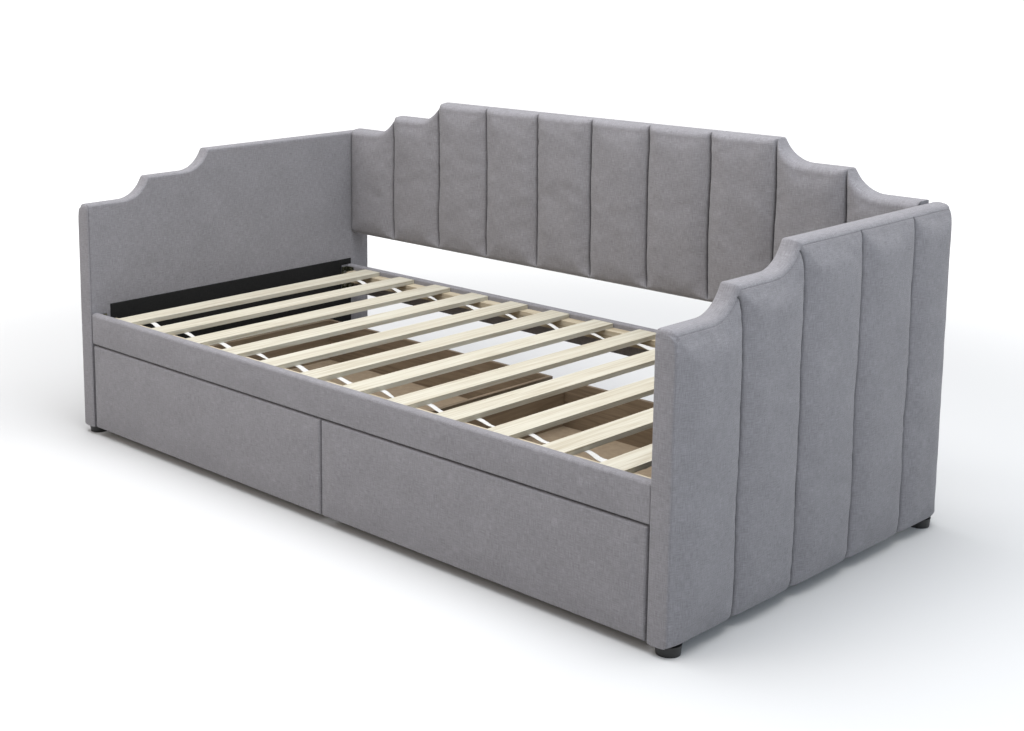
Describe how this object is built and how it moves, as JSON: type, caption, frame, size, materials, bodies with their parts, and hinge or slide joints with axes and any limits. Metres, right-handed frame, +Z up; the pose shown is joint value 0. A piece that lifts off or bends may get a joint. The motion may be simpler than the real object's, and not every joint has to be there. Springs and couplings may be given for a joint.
{
  "type": "storage daybed",
  "caption": "Upholstered daybed with stepped, channel-tufted back and side panels, a slatted mattress deck and rolling storage drawers below that pull out to the front.",
  "frame": {"origin": "on the floor under the middle of the bed's bounding box", "axes": "+X along the bed, +Y from the front to the back, +Z up"},
  "size_m": [2.039, 1.07, 0.897],
  "materials": {
    "upholstery": "woven linen-look polyester in mid grey with fine slubs",
    "frame_board": "plain particle board, hidden inside the covers",
    "ledge_timber": "planed softwood, unfinished",
    "slat_timber": "planed pale softwood, unfinished",
    "webbing": "white woven tape",
    "dust_cloth": "black non-woven cloth",
    "bracket_steel": "dark mottled zinc and paint, satin",
    "fastener_steel": "bright zinc plate",
    "black_plastic": "moulded, fine texture",
    "drawer_board": "brown faced board, matt",
    "drawer_bottom": "thin hardboard, light brown"
  },
  "bodies": {
    "bed_frame": {"left_side_cover": "upholstery", "right_side_cover": "upholstery", "back_cover": "upholstery", "front_rail_cover": "upholstery", "rear_rail_cover": "upholstery", "left_side_board": "frame_board", "right_side_board": "frame_board", "back_board": "frame_board", "front_rail_board": "frame_board", "rear_rail_board": "frame_board", "front_slat_ledge": "ledge_timber", "rear_slat_ledge": "ledge_timber", "slat_01": "slat_timber", "slat_02": "slat_timber", "slat_03": "slat_timber", "slat_04": "slat_timber", "slat_05": "slat_timber", "slat_06": "slat_timber", "slat_07": "slat_timber", "slat_08": "slat_timber", "slat_09": "slat_timber", "slat_10": "slat_timber", "slat_11": "slat_timber", "slat_12": "slat_timber", "front_webbing": "webbing", "rear_webbing": "webbing", "left_dust_cloth": "dust_cloth", "right_dust_cloth": "dust_cloth", "rail_brackets": "bracket_steel", "left_back_bracket": "bracket_steel", "right_back_bracket": "bracket_steel", "frame_bolts": "fastener_steel", "ledge_screws": "fastener_steel", "front_left_foot": "black_plastic", "rear_left_foot": "black_plastic", "front_right_foot": "black_plastic", "rear_right_foot": "black_plastic", "foot_screws": "fastener_steel"},
    "left_drawer": {"left_drawer_front_cover": "upholstery", "left_drawer_front_board": "frame_board", "left_drawer_outer_wall": "drawer_board", "left_drawer_inner_wall": "drawer_board", "left_drawer_back_wall": "drawer_board", "left_drawer_bottom": "drawer_bottom", "left_drawer_screws": "fastener_steel", "left_drawer_wheel_forks": "bracket_steel", "left_drawer_axles": "fastener_steel"},
    "left_drawer_front_wheel_pair": {"left_drawer_front_wheels": "black_plastic"},
    "left_drawer_rear_wheel_pair": {"left_drawer_rear_wheels": "black_plastic"},
    "right_drawer": {"right_drawer_front_cover": "upholstery", "right_drawer_front_board": "frame_board", "right_drawer_outer_wall": "drawer_board", "right_drawer_inner_wall": "drawer_board", "right_drawer_back_wall": "drawer_board", "right_drawer_bottom": "drawer_bottom", "right_drawer_screws": "fastener_steel", "right_drawer_wheel_forks": "bracket_steel", "right_drawer_axles": "fastener_steel"},
    "right_drawer_front_wheel_pair": {"right_drawer_front_wheels": "black_plastic"},
    "right_drawer_rear_wheel_pair": {"right_drawer_rear_wheels": "black_plastic"}
  },
  "joints": [
    {"name": "left_drawer_slide", "type": "slide", "parent": "bed_frame", "child": "left_drawer", "axis": [0, -1, 0], "range_m": [0, 0.6]},
    {"name": "left_drawer_front_wheel_spin", "type": "hinge", "parent": "left_drawer", "child": "left_drawer_front_wheel_pair", "pos_m": [-0.4795, -0.449, 0.02], "axis": [1, 0, 0], "continuous": true},
    {"name": "left_drawer_rear_wheel_spin", "type": "hinge", "parent": "left_drawer", "child": "left_drawer_rear_wheel_pair", "pos_m": [-0.4795, 0.295, 0.02], "axis": [1, 0, 0], "continuous": true},
    {"name": "right_drawer_slide", "type": "slide", "parent": "bed_frame", "child": "right_drawer", "axis": [0, -1, 0], "range_m": [0, 0.6]},
    {"name": "right_drawer_front_wheel_spin", "type": "hinge", "parent": "right_drawer", "child": "right_drawer_front_wheel_pair", "pos_m": [0.4795, -0.449, 0.02], "axis": [1, 0, 0], "continuous": true},
    {"name": "right_drawer_rear_wheel_spin", "type": "hinge", "parent": "right_drawer", "child": "right_drawer_rear_wheel_pair", "pos_m": [0.4795, 0.295, 0.02], "axis": [1, 0, 0], "continuous": true}
  ],
  "couplings": [
    {"joint": "left_drawer_front_wheel_spin", "follows": "left_drawer_slide", "rad_per_m": 50},
    {"joint": "left_drawer_rear_wheel_spin", "follows": "left_drawer_slide", "rad_per_m": 50},
    {"joint": "right_drawer_front_wheel_spin", "follows": "right_drawer_slide", "rad_per_m": 50},
    {"joint": "right_drawer_rear_wheel_spin", "follows": "right_drawer_slide", "rad_per_m": 50}
  ]
}
